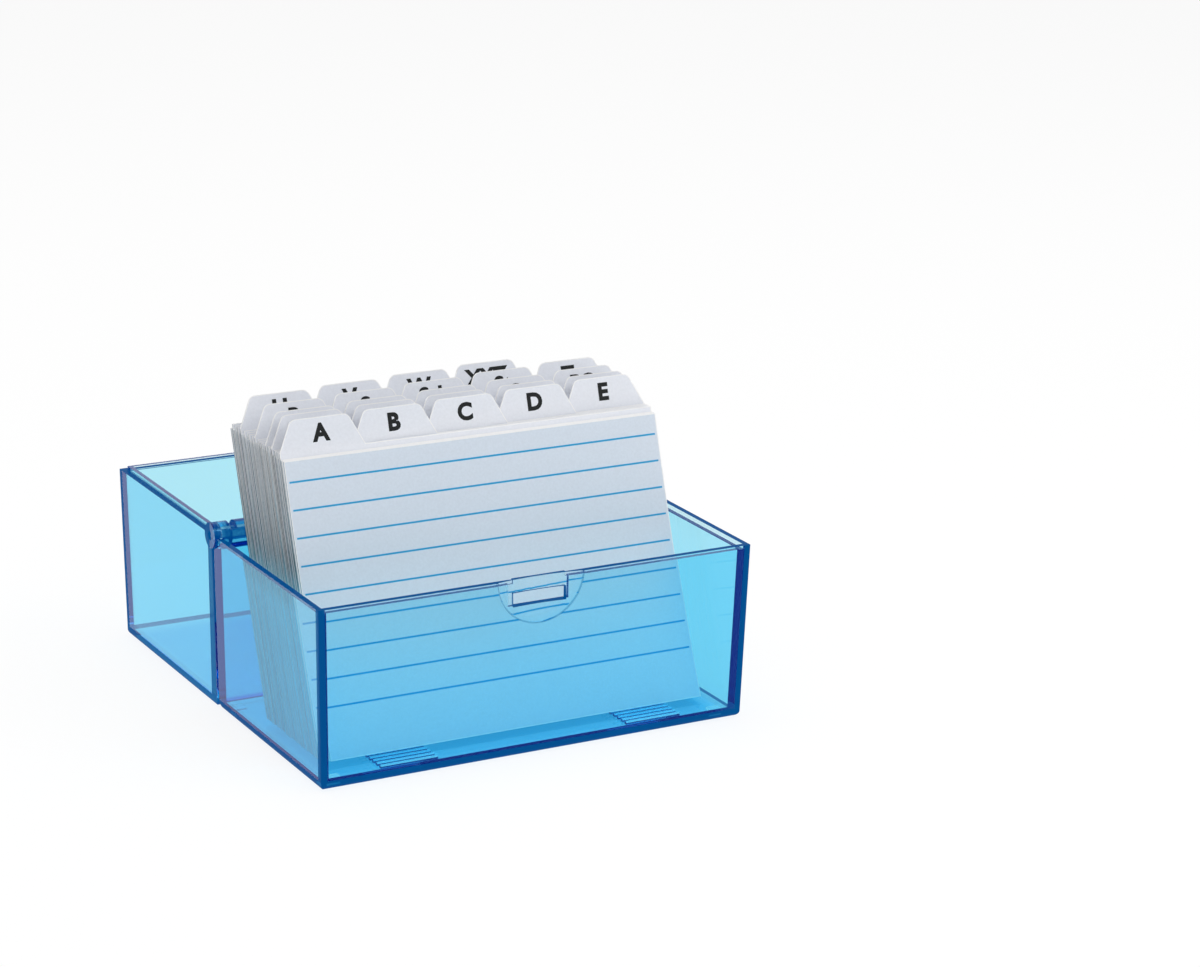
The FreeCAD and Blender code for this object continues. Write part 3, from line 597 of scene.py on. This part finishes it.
def cut_card_edges(settings):
    """Guillotined edges of card in a loose pack.

    Their grey is painted shade, for light lost between the sheets, and each sheet shows as its own
    streak along the pack's side.  Painted light makes the streaks whitest at the top, a painted teal
    shade falls on them just above the box's rim, and below it painted light in the plastic's tint
    evens them out.
    """
    name = "cut_card_edges"
    if name in bpy.data.materials:
        return bpy.data.materials[name]
    material, tree = new_material(name)
    place = add_node(tree, "ShaderNodeTexCoord")
    patch = add_node(tree, "ShaderNodeTexNoise", {
        "Vector": place.outputs["Object"], "Scale": 1 / PATCH_LENGTH, "Detail": 3.0})
    sheet = add_node(tree, "ShaderNodeAttribute", attribute_name=SHADE)
    mixed = add_node(tree, "ShaderNodeMath", {
        0: patch.outputs["Fac"], 1: PATCH_STRENGTH, 2: sheet.outputs["Fac"]},
        operation="MULTIPLY_ADD")
    tone = add_node(tree, "ShaderNodeValToRGB", {"Fac": mixed.outputs[0]})
    set_stops(tone.color_ramp, (DARK_SHADE, (*settings.edge_dark, 1)),
              (1.0, (*settings.edge_light, 1)))
    # Painted light and shade by height: lit at the top, shaded above the rim, tinted light in the box
    spot = add_node(tree, "ShaderNodeSeparateXYZ", {"Vector": place.outputs["Object"]})
    share = add_node(tree, "ShaderNodeMath", {
        0: spot.outputs["Z"], 1: settings.card_height}, operation="DIVIDE")
    painted_light_ramp = add_node(tree, "ShaderNodeValToRGB", {"Fac": share.outputs[0]})
    low, rim, top = CAST_HEIGHTS
    set_stops(painted_light_ramp.color_ramp, (low, (*settings.painted_box_light, settings.evened_out)),
              (rim, (*settings.painted_rim_shade, 0)),
              (top, (*settings.painted_top_light, settings.evened_out * TOP_EVENED)))
    tinted = add_node(tree, "ShaderNodeMixRGB", {
        "Fac": 1.0, "Color1": tone.outputs["Color"], "Color2": painted_light_ramp.outputs["Color"]},
        blend_type="MULTIPLY")
    lit = add_node(tree, "ShaderNodeMixRGB", {
        "Fac": painted_light_ramp.outputs["Alpha"], "Color1": tinted.outputs["Color"],
        "Color2": painted_light_ramp.outputs["Color"]})
    surface = add_node(tree, "ShaderNodeBsdfPrincipled", {
        "Base Color": lit.outputs["Color"], "Roughness": 0.9})
    add_node(tree, "ShaderNodeOutputMaterial", {"Surface": surface.outputs["BSDF"]})
    return material


def ruled_lines(tree, place, paper, settings):
    """Print evenly pitched lines over a paper colour, in the sheet's own UV map."""
    spot = add_node(tree, "ShaderNodeSeparateXYZ", {"Vector": place.outputs["UV"]})
    lowest = settings.line_low / settings.card_height
    pitch = settings.line_pitch / settings.card_height
    half_line = settings.line_width / settings.line_pitch / 2
    middle = 0.5
    margin = settings.line_margin / settings.card_width
    rows = add_node(tree, "ShaderNodeMath", {0: spot.outputs["Y"], 1: lowest},
                    operation="SUBTRACT")
    count = add_node(tree, "ShaderNodeMath", {0: rows.outputs[0], 1: pitch},
                     operation="DIVIDE")
    nearest = add_node(tree, "ShaderNodeMath", {0: count.outputs[0]}, operation="ROUND")
    kept = add_node(tree, "ShaderNodeClamp", {
        "Value": nearest.outputs[0], "Min": 0.0, "Max": float(settings.line_count - 1)})
    off = add_node(tree, "ShaderNodeMath", {0: count.outputs[0], 1: kept.outputs[0]},
                   operation="SUBTRACT")
    off_line = add_node(tree, "ShaderNodeMath", {0: off.outputs[0]}, operation="ABSOLUTE")
    on_line = add_node(tree, "ShaderNodeMath", {0: off_line.outputs[0], 1: half_line},
                       operation="LESS_THAN")
    side = add_node(tree, "ShaderNodeMath", {0: spot.outputs["X"], 1: middle},
                    operation="SUBTRACT")
    from_middle = add_node(tree, "ShaderNodeMath", {0: side.outputs[0]},
                           operation="ABSOLUTE")
    inside = add_node(tree, "ShaderNodeMath", {
        0: from_middle.outputs[0], 1: middle - margin}, operation="LESS_THAN")
    both = add_node(tree, "ShaderNodeMath", {0: on_line.outputs[0], 1: inside.outputs[0]},
                    operation="MULTIPLY")
    printed = add_node(tree, "ShaderNodeMixRGB", {
        "Fac": both.outputs[0], "Color1": paper, "Color2": (*settings.line_colour, 1)})
    return printed.outputs["Color"]


def printing_ink(settings):
    """Black offset ink on card: a thin, slightly satin film."""
    name = "printing_ink"
    if name in bpy.data.materials:
        return bpy.data.materials[name]
    material, tree = new_material(name)
    place = add_node(tree, "ShaderNodeTexCoord")
    speck = add_node(tree, "ShaderNodeTexNoise", {
        "Vector": place.outputs["Object"], "Scale": 1 / SPECK_LENGTH, "Detail": 2.0})
    light = [share * SPECK_LIGHT for share in settings.ink_colour]
    tone = add_node(tree, "ShaderNodeValToRGB", {"Fac": speck.outputs["Fac"]})
    set_stops(tone.color_ramp, (0.0, (*settings.ink_colour, 1)), (1.0, (*light, 1)))
    surface = add_node(tree, "ShaderNodeBsdfPrincipled", {
        "Base Color": tone.outputs["Color"], "Roughness": 0.6, "Specular IOR Level": 0.25})
    add_node(tree, "ShaderNodeOutputMaterial", {"Surface": surface.outputs["BSDF"]})
    return material


def studio_floor(settings):
    """Matt white paper sweep, partly lit by itself so that it stays white to the eye.

    Seen through the box, what it stands on glows in a painted tint, in place of the light that the
    plastic lets through.  It is white again where it is seen past the plastic, once the lid is shut.
    """
    material, tree = new_material("studio_floor")
    matt = add_node(tree, "ShaderNodeBsdfDiffuse", {"Color": (*settings.floor_colour, 1)})
    place = add_node(tree, "ShaderNodeTexCoord")
    away = add_node(tree, "ShaderNodeVectorMath", {0: place.outputs["Object"]},
                    operation="ABSOLUTE")
    half_box = cad_bounds[1]
    past = add_node(tree, "ShaderNodeVectorMath", {
        0: away.outputs[0], 1: (half_box.x, half_box.y, 0)}, operation="SUBTRACT")
    sides = add_node(tree, "ShaderNodeSeparateXYZ", {"Vector": past.outputs[0]})
    clear_of_box = add_node(tree, "ShaderNodeMath", {
        0: sides.outputs["X"], 1: sides.outputs["Y"]}, operation="MAXIMUM")
    outside = add_node(tree, "ShaderNodeMapRange", {
        "Value": clear_of_box.outputs[0], "From Min": -settings.glow_fade, "From Max": 0.0})
    path = add_node(tree, "ShaderNodeLightPath")
    past_plastic = add_node(tree, "ShaderNodeMath", {
        0: 1.0, 1: path.outputs["Is Transmission Ray"]}, operation="SUBTRACT")
    plain = add_node(tree, "ShaderNodeMath", {
        0: outside.outputs[0], 1: past_plastic.outputs[0]}, operation="MAXIMUM")
    # Painted light: under the box and seen through the plastic, the floor glows in the plastic's tint
    colour = add_node(tree, "ShaderNodeMixRGB", {
        "Fac": plain.outputs[0], "Color1": (*settings.painted_under_light, 1),
        "Color2": (1, 1, 1, 1)})
    glow = add_node(tree, "ShaderNodeEmission", {
        "Color": colour.outputs["Color"], "Strength": 1.0})
    part = add_node(tree, "ShaderNodeMath", {0: seen_directly(tree), 1: settings.floor_glow},
                    operation="MULTIPLY")
    surface = add_node(tree, "ShaderNodeMixShader", {
        0: part.outputs[0], 1: matt.outputs["BSDF"], 2: glow.outputs["Emission"]})
    add_node(tree, "ShaderNodeOutputMaterial", {"Surface": surface.outputs["Shader"]})
    return material


def seen_directly(tree):
    """1 for what is seen straight, in a reflection or through clear plastic, otherwise 0."""
    path = add_node(tree, "ShaderNodeLightPath")
    mirrored = add_node(tree, "ShaderNodeMath", {
        0: path.outputs["Is Camera Ray"], 1: path.outputs["Is Glossy Ray"]},
        operation="MAXIMUM")
    seen = add_node(tree, "ShaderNodeMath", {
        0: mirrored.outputs[0], 1: path.outputs["Is Transmission Ray"]},
        operation="MAXIMUM")
    return seen.outputs[0]


# --------------------------------------------------------------------------------------
# Sheets
# --------------------------------------------------------------------------------------

def upright_sheet(name, width, height):
    """A flat sheet that stands on the X axis and faces forwards, in rows from foot to top."""
    deselect_all()
    bpy.ops.mesh.primitive_grid_add(
        x_subdivisions=2, y_subdivisions=BEND_ROWS, size=1, location=(0, 0, height / 2),
        rotation=(math.pi / 2, 0, 0))
    sheet = bpy.context.object
    sheet.name = name
    sheet.scale = (width, height, 1)
    apply_place(sheet)
    return sheet


def bow_sheet(sheet, settings, depth_share):
    """Bow a standing sheet to the rear between its foot and the top of the tabs.

    The bow is a parabola, with its whole amount halfway up.
    """
    full_height = settings.divider_height + settings.tab_height
    group = sheet.vertex_groups.new(name="bow")
    for vertex in sheet.data.vertices:
        share = min(max(vertex.co.z / full_height, 0), 1)
        group.add([vertex.index], 4 * share * (1 - share), "REPLACE")
    amount = settings.bow_front + (settings.bow_back - settings.bow_front) * depth_share
    apply_modifier(sheet, "DISPLACE", direction="Y", mid_level=0, strength=amount,
                   vertex_group="bow")
    sheet.vertex_groups.clear()


def stand_sheet(sheet, settings, place):
    """Bow a sheet, lean it back and stand its lower front edge at a place."""
    front_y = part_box("cards_in_front")[0].y
    rear_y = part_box("divider_xyz")[0].y
    bow_sheet(sheet, settings, (place.y - front_y) / (rear_y - front_y))
    sheet.rotation_euler = (-settings.lean, 0, 0)
    sheet.location = place
    apply_place(sheet)


def painted_highlight_edges(settings):
    """Painted highlight on the sheets' borders and upper edges: card stock in pure white, in place of the light
    they catch from above.
    """
    return card_stock("cut_card_tops", settings.painted_highlight_colour, settings)


def brighten_border(sheet, settings, slot):
    """Leave a sheet's first material along its border and give the rest another one."""
    bpy.ops.object.mode_set(mode="EDIT")
    bpy.ops.mesh.select_all(action="SELECT")
    bpy.ops.mesh.inset(thickness=settings.highlight_border)
    sheet.active_material_index = slot
    bpy.ops.object.material_slot_assign()
    bpy.ops.object.mode_set(mode="OBJECT")


def finish_sides(sheet, settings, height):
    """Give the last material of a sheet to its two upright sides, up to a height."""
    select_where(sheet, "FACE", lambda spot: abs(spot.x) > settings.card_width / 2 - NEAR
                 and spot.z < height - NEAR)
    sheet.active_material_index = len(sheet.data.materials) - 1
    bpy.ops.object.material_slot_assign()
    bpy.ops.object.mode_set(mode="OBJECT")


def give_shade(sheet, value):
    """Note how light a sheet's cut edges are, for the material to read."""
    shade = sheet.data.attributes.new(SHADE, "FLOAT", "POINT")
    for point in shade.data:
        point.value = value


def foot_height():
    """Height of the sheets' lower front edges, which is where the leaves turn."""
    joint = [joint for joint in frame["joints"] if joint["name"] == "leaf_a_lean"][0]
    return joint["pos_m"][2]


def body_of(node):
    """Name of the body that a CAD node moves with."""
    return [body for body, nodes in frame["record"]["behaviour"]["bodies"].items()
            if node in nodes][0]


def card_blank(settings):
    """A ruled card, upright and flat, to be copied."""
    ruled = card_stock("ruled_card_stock", settings.card_colour, settings, ruled=True)
    plain = card_stock("plain_card_stock", settings.card_colour, settings)
    blank = upright_sheet("card_blank", settings.card_width, settings.card_height)
    give_material(blank, painted_highlight_edges(settings), ruled, plain, cut_card_edges(settings))
    brighten_border(blank, settings, 1)
    apply_modifier(blank, "SOLIDIFY", thickness=settings.card_thickness, offset=-1,
                   material_offset=1)
    finish_sides(blank, settings, settings.card_height)
    return blank


def run_of_cards(node, settings, chance):
    """Stand a run of ruled cards where a CAD node has its solids, each a little out of line."""
    blank = card_blank(settings)
    low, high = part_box(node)
    spacing = settings.card_pitch / math.cos(settings.lean)
    depth = high.y - low.y - settings.card_height * math.sin(settings.lean)
    run_shade = chance.random()
    cards = []
    for number in range(round(depth / spacing)):
        card = copy_of(blank, "card")
        card.location.x = chance.uniform(-CARD_SLIP, CARD_SLIP)
        card.location.z = chance.uniform(0.0, CARD_RISE)
        apply_place(card)
        give_shade(card, RUN_SHARE * run_shade + (1 - RUN_SHARE) * chance.random())
        stand_sheet(card, settings, Vector((0, low.y + number * spacing, foot_height())))
        cards.append(card)
    remove(blank)
    run = join(cards, "ruled_" + node)
    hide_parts(node)
    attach(run, body_of(node))


def raise_tab(sheet, left, right, settings):
    """Raise a tab from a divider's upper edge, with sloping sides and rounded corners."""
    height = settings.divider_height
    middle = (left + right) / 2
    for cut in (left, right):
        if abs(cut) < settings.card_width / 2 - NEAR:
            bpy.ops.object.mode_set(mode="EDIT")
            bpy.ops.mesh.select_all(action="SELECT")
            bpy.ops.mesh.bisect(plane_co=(cut, 0, 0), plane_no=(1, 0, 0))
            bpy.ops.object.mode_set(mode="OBJECT")
    select_where(sheet, "EDGE", lambda spot: spot.z > height - NEAR
                 and left - NEAR < spot.x < right + NEAR)
    bpy.ops.mesh.extrude_region_move(
        TRANSFORM_OT_translate={"value": (0, 0, settings.tab_height)})
    narrowed = (settings.tab_foot - 2 * settings.tab_slope) / settings.tab_foot
    bpy.ops.transform.resize(value=(narrowed, 1, 1), center_override=(middle, 0, height))
    bpy.ops.object.mode_set(mode="OBJECT")
    top = height + settings.tab_height
    half_top = settings.tab_foot / 2 - settings.tab_slope
    select_where(sheet, "VERT", lambda spot: spot.z > top - NEAR
                 and abs(abs(spot.x - middle) - half_top) < NEAR)
    turn = math.atan2(settings.tab_height, settings.tab_slope)
    bpy.ops.mesh.bevel(affect="VERTICES", offset=settings.tab_round * math.tan(turn / 2),
                       segments=6)
    bpy.ops.object.mode_set(mode="OBJECT")


def divider_with_tab(name, column, settings, chance):
    """Cut a divider with its tab, print its letters and stand it in the pack."""
    node = "divider_" + name
    step = (settings.card_width - settings.tab_foot) / (TABS_PER_ROW - 1)
    left = -settings.card_width / 2 + column * step
    right = left + settings.tab_foot
    sheet = upright_sheet("lettered_" + node, settings.card_width, settings.divider_height)
    raise_tab(sheet, left, right, settings)
    stock = card_stock("divider_stock", settings.divider_colour, settings)
    give_material(sheet, painted_highlight_edges(settings), stock, cut_card_edges(settings))
    brighten_border(sheet, settings, 1)
    apply_modifier(sheet, "SOLIDIFY", thickness=settings.divider_thickness, offset=-1)
    finish_sides(sheet, settings, settings.divider_height)
    give_shade(sheet, chance.random())
    slip = chance.uniform(-DIVIDER_SLIP, DIVIDER_SLIP)
    place = Vector((slip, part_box(node)[0].y, foot_height()))
    stand_sheet(sheet, settings, place)
    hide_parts(node)
    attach(sheet, body_of(node))
    print_letters(name, (left + right) / 2, settings, place)


def print_letters(name, middle, settings, place):
    """Print a label on the front of a tab, as a film just proud of the card."""
    deselect_all()
    bpy.ops.object.text_add()
    words = bpy.context.object
    words.data.body = LABELS.get(name, name.upper())
    words.data.align_x = "CENTER"
    words.data.size = 1.0
    words.data.offset = settings.letter_weight
    words.data.resolution_u = 4
    bpy.ops.object.convert(target="MESH")
    words.name = "letters_" + name
    words.data.name = words.name
    capital = max(vertex.co.y for vertex in words.data.vertices)
    scale = settings.letter_height / capital
    words.scale = (scale, scale, 1)
    words.rotation_euler = (math.pi / 2, 0, 0)
    words.location = (middle, -INK_FILM, settings.divider_height + settings.letter_rise)
    apply_place(words)
    give_material(words, printing_ink(settings))
    stand_sheet(words, settings, place)
    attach(words, body_of("divider_" + name))


# --------------------------------------------------------------------------------------
# Operators
# --------------------------------------------------------------------------------------

class CARDBOX_OT_stage(bpy.types.Operator):
    """Set up the white floor, the soft lights and the camera"""
    bl_idname = "cardbox.stage"
    bl_label = "Stage"

    def execute(self, context):
        settings = context.scene.card_box_stage
        deselect_all()
        bpy.ops.mesh.primitive_plane_add(size=settings.floor_size)
        floor = context.object
        floor.name = "paper_sweep"
        give_material(floor, studio_floor(settings))
        self.light_all_round(context.scene, settings)
        self.add_softbox("key_light", KEY_PLACE, KEY_SIZE, settings.key_power)
        self.add_softbox("top_light", TOP_PLACE, TOP_SIZE, settings.top_power)
        self.add_camera(context.scene, settings)
        context.scene.view_settings.view_transform = "Standard"
        return {"FINISHED"}

    def light_all_round(self, scene, settings):
        """Light everything evenly, in front of a background that looks plain white."""
        world = bpy.data.worlds.new("white_studio")
        scene.world = world
        world.use_nodes = True
        tree = world.node_tree
        tree.nodes.clear()
        soft = add_node(tree, "ShaderNodeBackground", {
            "Color": (1, 1, 1, 1), "Strength": settings.ambient})
        white = add_node(tree, "ShaderNodeBackground", {
            "Color": (1, 1, 1, 1), "Strength": 1.0})
        either = add_node(tree, "ShaderNodeMixShader", {
            0: seen_directly(tree), 1: soft.outputs["Background"],
            2: white.outputs["Background"]})
        add_node(tree, "ShaderNodeOutputWorld", {"Surface": either.outputs["Shader"]})

    def add_softbox(self, name, place, size, power):
        """Hang a square soft light at a place, turned to the middle of the box."""
        deselect_all()
        bpy.ops.object.light_add(type="AREA", location=place)
        light = bpy.context.object
        light.name = name
        light.data.shape = "SQUARE"
        light.data.size = size
        light.data.energy = power
        ahead = Vector(AIM) - Vector(place)
        light.rotation_euler = ahead.to_track_quat("-Z", "Y").to_euler()

    def add_camera(self, scene, settings):
        """Place and turn the camera by its compass turn, pitch and roll."""
        turn = settings.camera_turn
        pitch = settings.camera_pitch
        ahead = Vector((math.sin(turn) * math.cos(pitch), math.cos(turn) * math.cos(pitch),
                        -math.sin(pitch)))
        right = Vector((math.cos(turn), -math.sin(turn), 0))
        up = right.cross(ahead)
        cos_roll = math.cos(settings.camera_roll)
        sin_roll = math.sin(settings.camera_roll)
        across = right * cos_roll + up * sin_roll
        upward = up * cos_roll - right * sin_roll
        data = bpy.data.cameras.new("camera")
        data.lens = settings.camera_lens
        data.sensor_width = 36.0
        camera = bpy.data.objects.new("camera", data)
        scene.collection.objects.link(camera)
        axes = Matrix((across, upward, -ahead)).transposed()
        camera.matrix_world = Matrix.LocRotScale(Vector(settings.camera_place), axes, None)
        scene.camera = camera


class CARDBOX_OT_trays(bpy.types.Operator):
    """Finish the base, the lid and the latch tongue as tinted clear mouldings"""
    bl_idname = "cardbox.trays"
    bl_label = "Trays and latch"

    def execute(self, context):
        settings = context.scene.card_box_plastic
        for node in ("base_tray", "lid_tray", "latch_tongue"):
            give_material(frame["nodes"][node], tinted_polystyrene(settings))
        return {"FINISHED"}


class CARDBOX_OT_pins(bpy.types.Operator):
    """Make the two hinge pins"""
    bl_idname = "cardbox.pins"
    bl_label = "Hinge pins"

    def execute(self, context):
        settings = context.scene.card_box_plastic
        for node in ("hinge_pin_left", "hinge_pin_right"):
            low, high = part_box(node)
            middle = (low + high) / 2
            deselect_all()
            bpy.ops.mesh.primitive_cylinder_add(
                vertices=48, radius=(high.z - low.z) / 2 - PIN_CLEARANCE,
                depth=high.x - low.x, location=middle, rotation=(0, math.pi / 2, 0))
            pin = context.object
            pin.name = "moulded_" + node
            apply_place(pin)
            select_where(pin, "FACE", lambda spot: abs(spot.y - middle.y) < CAP_REACH
                         and abs(spot.z - middle.z) < CAP_REACH)
            bpy.ops.mesh.bevel(offset=PIN_CHAMFER, segments=3, affect="EDGES")
            bpy.ops.object.mode_set(mode="OBJECT")
            make_active(pin)
            bpy.ops.object.shade_smooth_by_angle(angle=math.radians(35))
            give_material(pin, tinted_polystyrene(settings))
            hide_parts(node)
            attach(pin, body_of(node))
        return {"FINISHED"}


class CARDBOX_OT_cards(bpy.types.Operator):
    """Make the ruled cards in front and behind each divider"""
    bl_idname = "cardbox.cards"
    bl_label = "Ruled cards"

    def execute(self, context):
        settings = context.scene.card_box_sheets
        chance = random.Random(CARD_SEED)
        for node in sorted(frame["nodes"]):
            if node.startswith("cards_"):
                run_of_cards(node, settings, chance)
        return {"FINISHED"}


class CARDBOX_OT_dividers(bpy.types.Operator):
    """Make the dividers with their lettered tabs"""
    bl_idname = "cardbox.dividers"
    bl_label = "Dividers"

    def execute(self, context):
        settings = context.scene.card_box_sheets
        chance = random.Random(DIVIDER_SEED)
        dividers = [node for node in frame["nodes"] if node.startswith("divider_")]
        dividers.sort(key=lambda node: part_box(node)[0].y)
        for number, node in enumerate(dividers):
            divider_with_tab(node[len("divider_"):], number % TABS_PER_ROW, settings, chance)
        return {"FINISHED"}


class CARDBOX_PT_sidebar(bpy.types.Panel):
    """List the operators and the settings of the card box"""
    bl_label = "Index Card Box"
    bl_idname = "CARDBOX_PT_sidebar"
    bl_space_type = "VIEW_3D"
    bl_region_type = "UI"
    bl_category = "Card Box"

    def draw(self, context):
        for operator in OPERATORS:
            self.layout.operator(operator.bl_idname)
        for group in ("card_box_plastic", "card_box_sheets", "card_box_stage"):
            box = self.layout.box()
            settings = getattr(context.scene, group)
            for name in settings.bl_rna.properties.keys():
                if name not in ("rna_type", "name"):
                    box.prop(settings, name)


OPERATORS = (CARDBOX_OT_stage, CARDBOX_OT_trays, CARDBOX_OT_pins, CARDBOX_OT_cards,
             CARDBOX_OT_dividers)
GROUPS = (CardBoxPlastic, CardBoxSheets, CardBoxStage)
CLASSES = GROUPS + OPERATORS + (CARDBOX_PT_sidebar,)


def register():
    """Register the classes and hang their settings on the scene."""
    for item in CLASSES:
        bpy.utils.register_class(item)
    bpy.types.Scene.card_box_plastic = PointerProperty(type=CardBoxPlastic)
    bpy.types.Scene.card_box_sheets = PointerProperty(type=CardBoxSheets)
    bpy.types.Scene.card_box_stage = PointerProperty(type=CardBoxStage)


def unregister():
    """Undo what register did."""
    del bpy.types.Scene.card_box_plastic
    del bpy.types.Scene.card_box_sheets
    del bpy.types.Scene.card_box_stage
    for item in reversed(CLASSES):
        bpy.utils.unregister_class(item)


def main():
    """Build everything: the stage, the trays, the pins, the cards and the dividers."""
    register()
    bpy.ops.cardbox.stage()
    bpy.ops.cardbox.trays()
    bpy.ops.cardbox.pins()
    bpy.ops.cardbox.cards()
    bpy.ops.cardbox.dividers()


if __name__ == "__main__":
    main()
